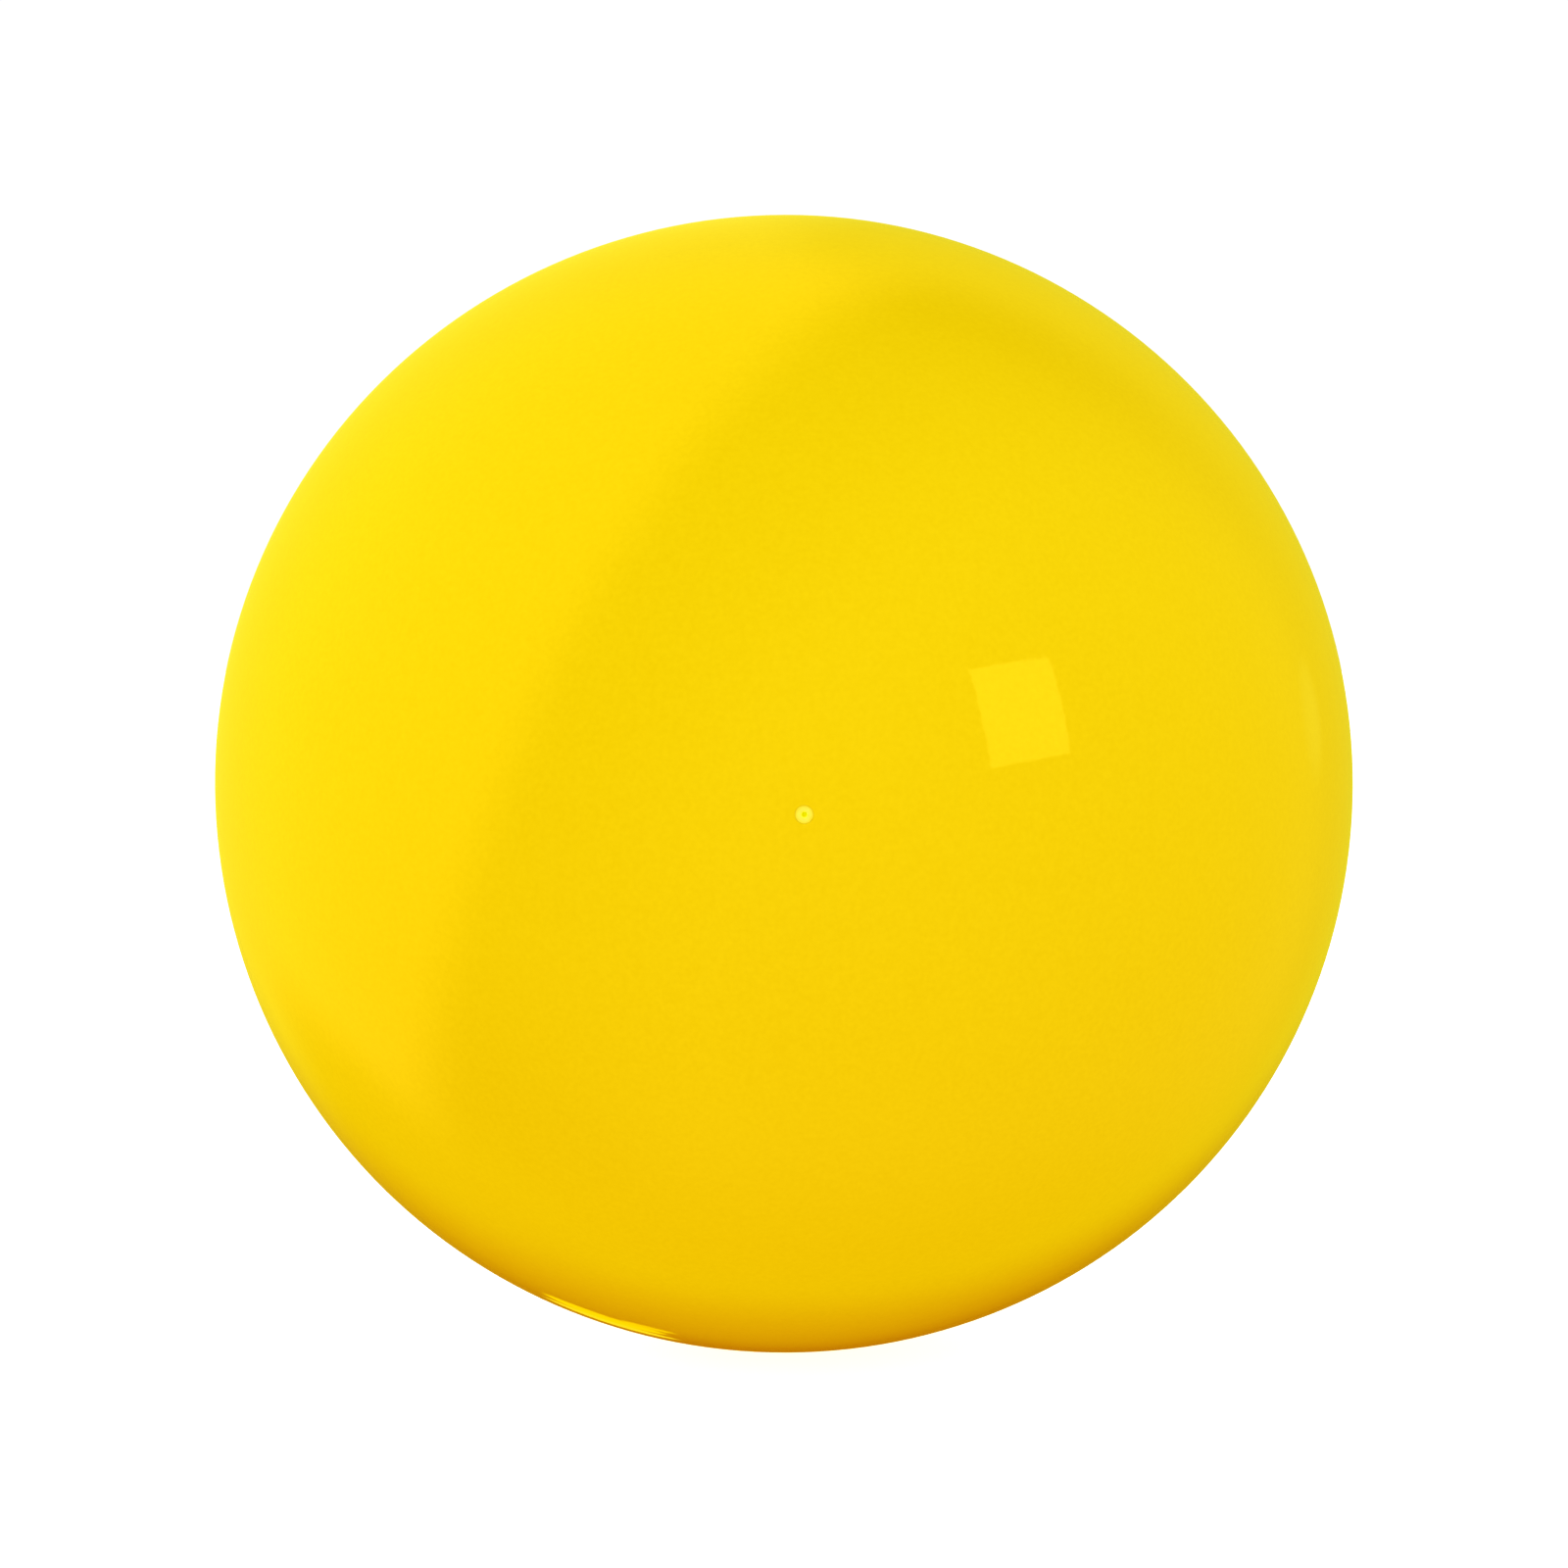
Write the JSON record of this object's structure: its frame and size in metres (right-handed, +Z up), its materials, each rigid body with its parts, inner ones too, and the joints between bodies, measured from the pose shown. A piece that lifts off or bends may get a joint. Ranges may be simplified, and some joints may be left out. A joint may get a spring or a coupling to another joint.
{
  "type": "playground rubber ball",
  "caption": "Smooth, glossy yellow inflatable rubber ball for the playground, with a wound and rubber-lined wall and a flush needle valve whose plug pulls out.",
  "frame": {"origin": "centre of the ball", "axes": "-Y runs out through the middle of the valve, along the needle passage; +Z is up"},
  "size_m": [0.216, 0.216, 0.216],
  "materials": {
    "cover_rubber": "gloss",
    "backing_rubber": "matte",
    "nylon_thread": "satin",
    "bladder_rubber": "satin",
    "patch_rubber": "matte",
    "housing_rubber": "satin",
    "insert_rubber": "satin"
  },
  "bodies": {
    "ball": {"cover": "cover_rubber", "cover_backing": "backing_rubber", "nylon_winding": "nylon_thread", "bladder": "bladder_rubber", "valve_patch": "patch_rubber", "valve_housing": "housing_rubber"},
    "insert": {"valve_insert": "insert_rubber"}
  },
  "joints": [
    {"name": "valve_pull", "type": "slide", "parent": "ball", "child": "insert", "axis": [0, -1, 0], "range_m": [0, 0.015]}
  ]
}
